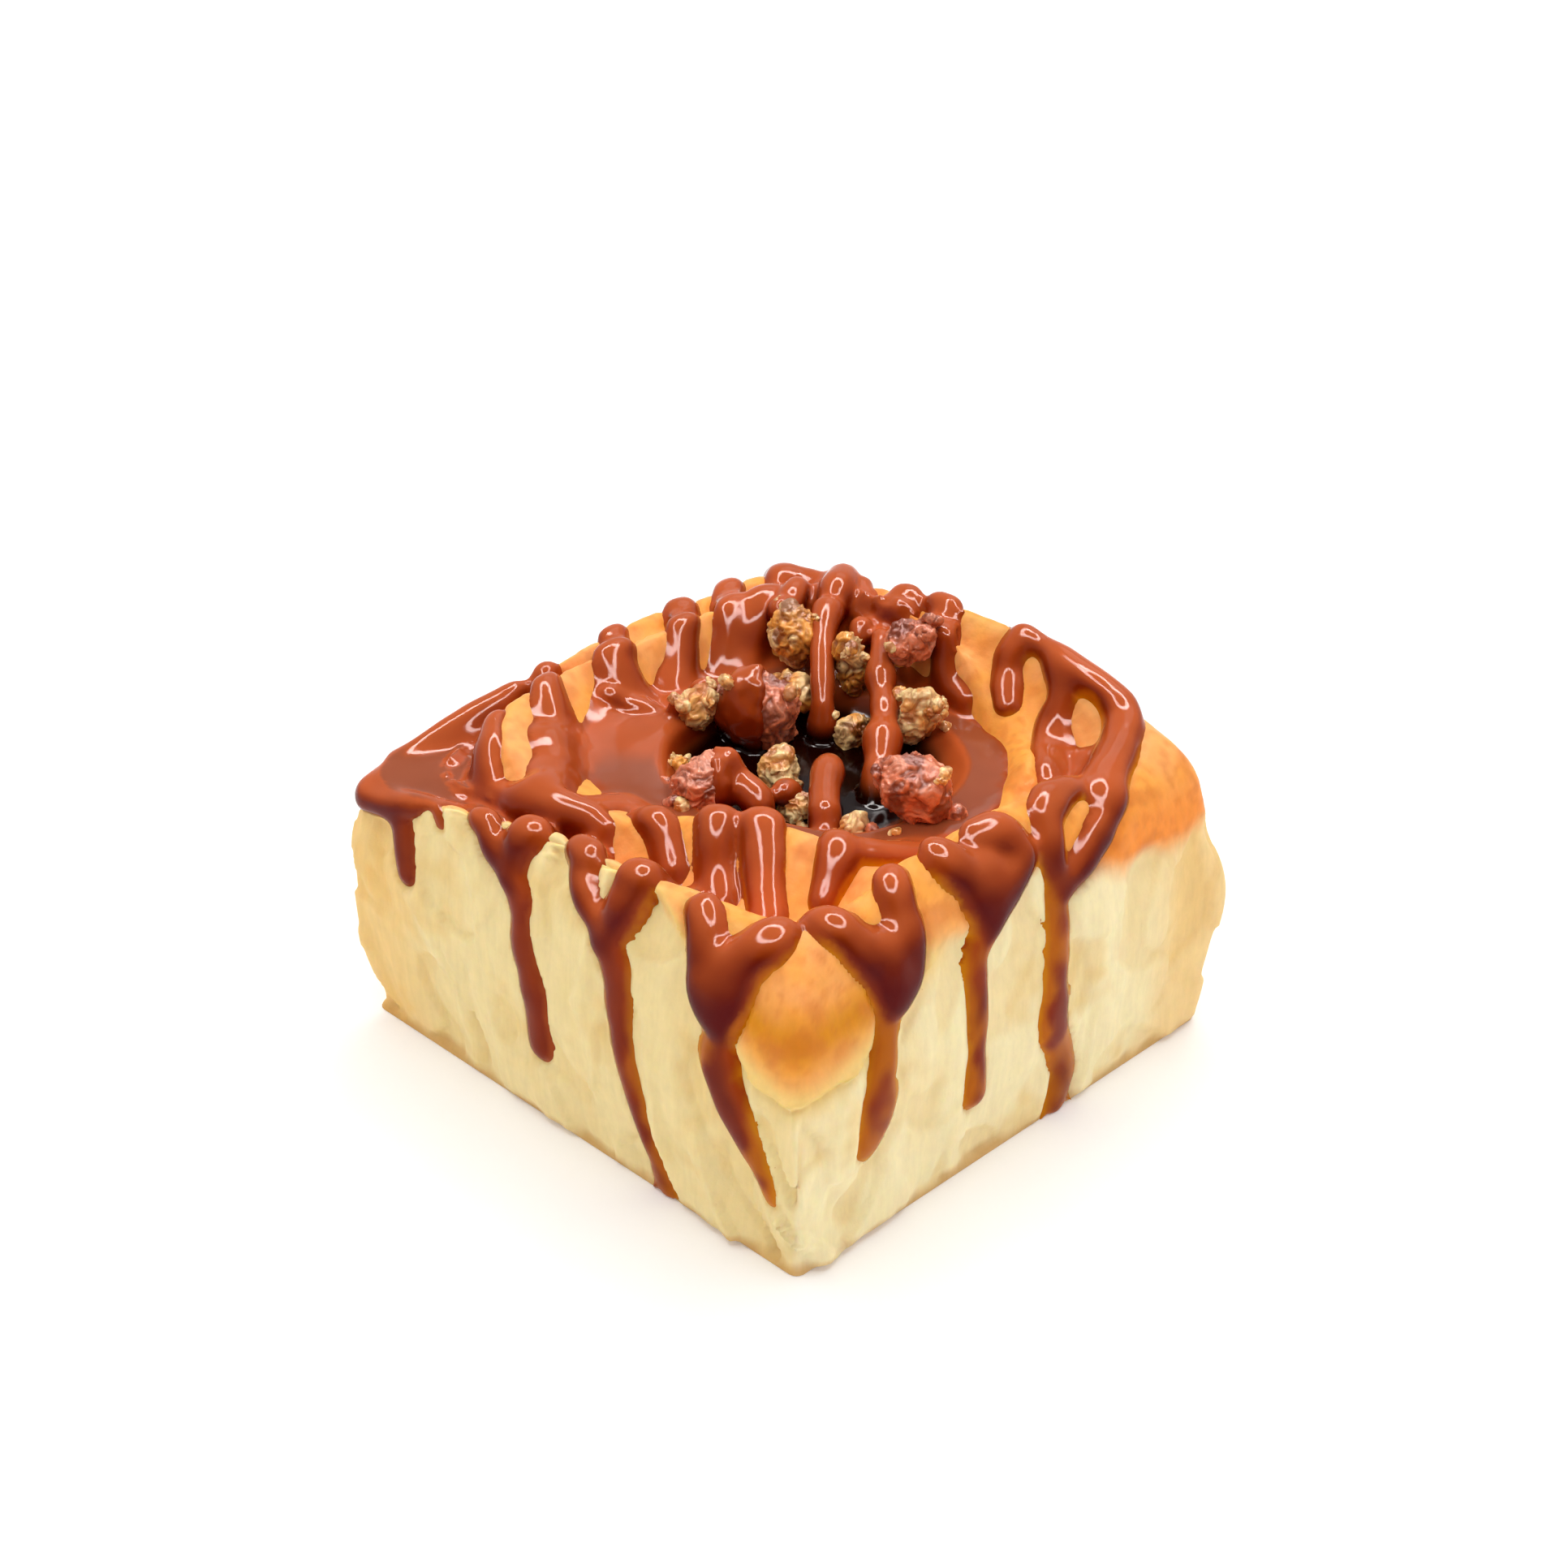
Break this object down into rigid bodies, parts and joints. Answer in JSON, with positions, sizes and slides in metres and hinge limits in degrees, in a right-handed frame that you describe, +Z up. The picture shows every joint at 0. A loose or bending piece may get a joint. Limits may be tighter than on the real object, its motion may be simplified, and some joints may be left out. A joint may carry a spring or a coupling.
{
  "type": "walnut roll",
  "caption": "Square pan-baked sweet roll with a sunk spiral top, caramel sauce in zigzag strands and drips, and walnut pieces in its basin.",
  "frame": {"origin": "centre of the base, on the surface the roll stands on, at the middle of the bounding box in plan", "axes": "+Z up; X and Y along the square roll's sides; the corner at +X -Y is the one nearest the picture's camera"},
  "size_m": [0.0973, 0.0922, 0.0551],
  "materials": {
    "crust": "baked dough, golden crust over a pale torn crumb, with glossy caramel sauce",
    "walnut": "toasted walnut, rough brown skin and pale broken faces"
  },
  "bodies": {
    "root": {"bun": "crust", "walnut_slab": "walnut", "walnut_back": "walnut", "walnut_right_large": "walnut", "walnut_left_coated": "walnut", "walnut_right_pale": "walnut", "walnut_middle": "walnut", "walnut_back_low": "walnut", "walnut_round": "walnut", "walnut_front_small": "walnut", "walnut_left_pale": "walnut", "walnut_sliver": "walnut", "walnut_back_right": "walnut", "walnut_left_bit": "walnut", "walnut_lip_bit": "walnut"}
  },
  "joints": []
}
